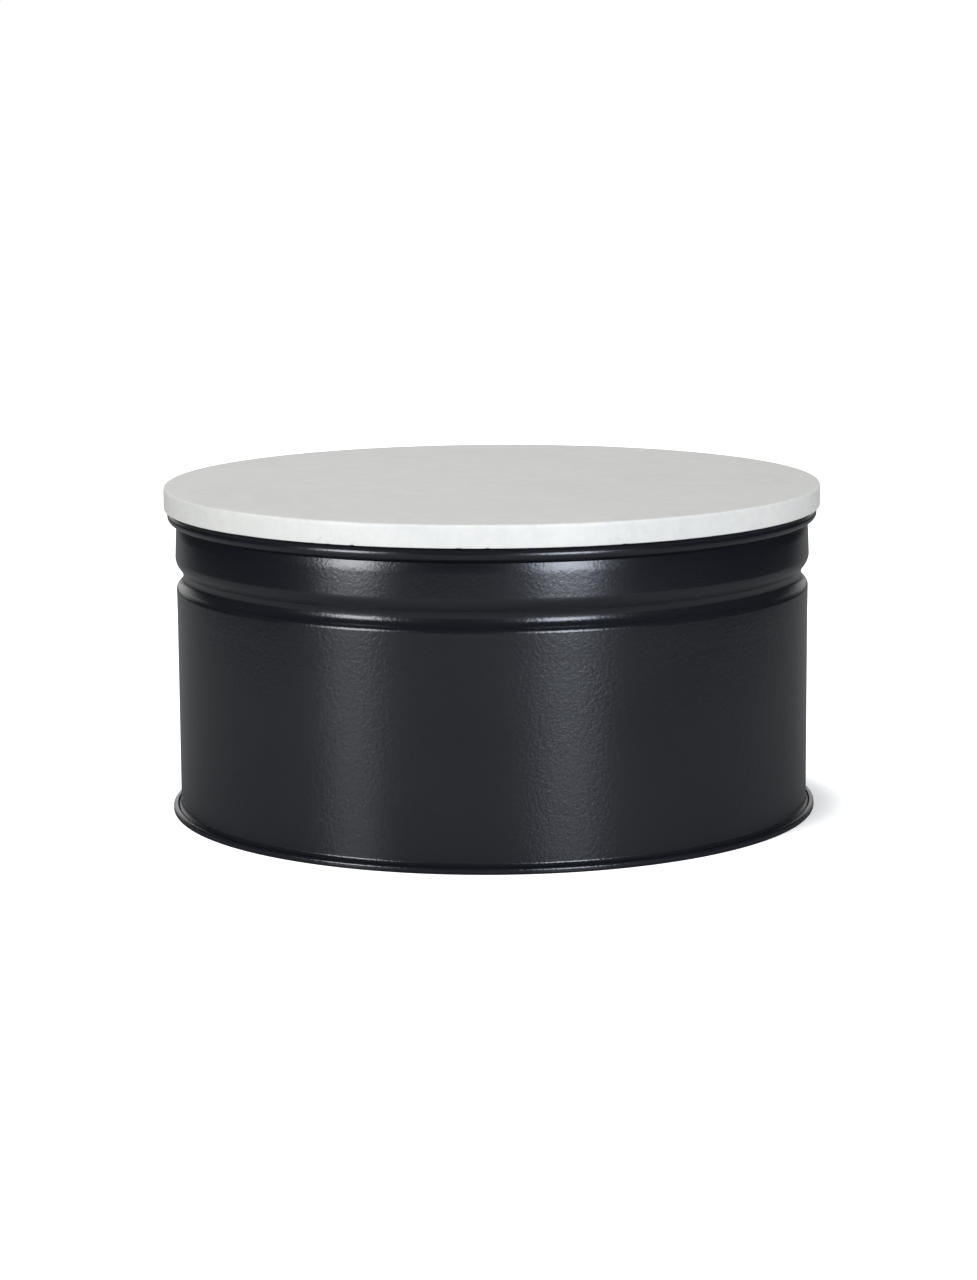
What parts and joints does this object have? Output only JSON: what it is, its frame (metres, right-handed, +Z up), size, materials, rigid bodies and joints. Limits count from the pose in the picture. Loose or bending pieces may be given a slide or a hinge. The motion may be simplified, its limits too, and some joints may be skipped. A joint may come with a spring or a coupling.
{
  "type": "candle storage tin",
  "caption": "Low round steel tin with a rolled rim, a groove under its collar, a seamed base and a push-in stone lid on a gasket.",
  "frame": {"origin": "centre of the ring that the tin stands on, at the floor", "axes": "+Z up along the tin's axis, out through the lid; +X and +Y are equal, and the wall's side seam faces +Y"},
  "size_m": [0.26, 0.26, 0.13],
  "materials": {
    "stone_lid": "honed white marble with faint grey mottling",
    "bond_pads": "cured flexible adhesive",
    "lid_plug": "sanded and oiled birch plywood",
    "lid_gasket": "matt charcoal silicone",
    "tin_wall": "satin black powder coat with light orange peel",
    "base_pan": "satin black powder coat with light orange peel",
    "seam_sealant": "cured can-seam lining compound"
  },
  "bodies": {
    "tin": {"tin_wall": "tin_wall", "base_pan": "base_pan", "seam_sealant": "seam_sealant"},
    "lid": {"stone_lid": "stone_lid", "bond_pads": "bond_pads", "lid_plug": "lid_plug", "lid_gasket": "lid_gasket"}
  },
  "joints": [
    {"name": "lid_lift", "type": "slide", "parent": "tin", "child": "lid", "axis": [0, 0, 1], "range_m": [0, 0.16]}
  ]
}
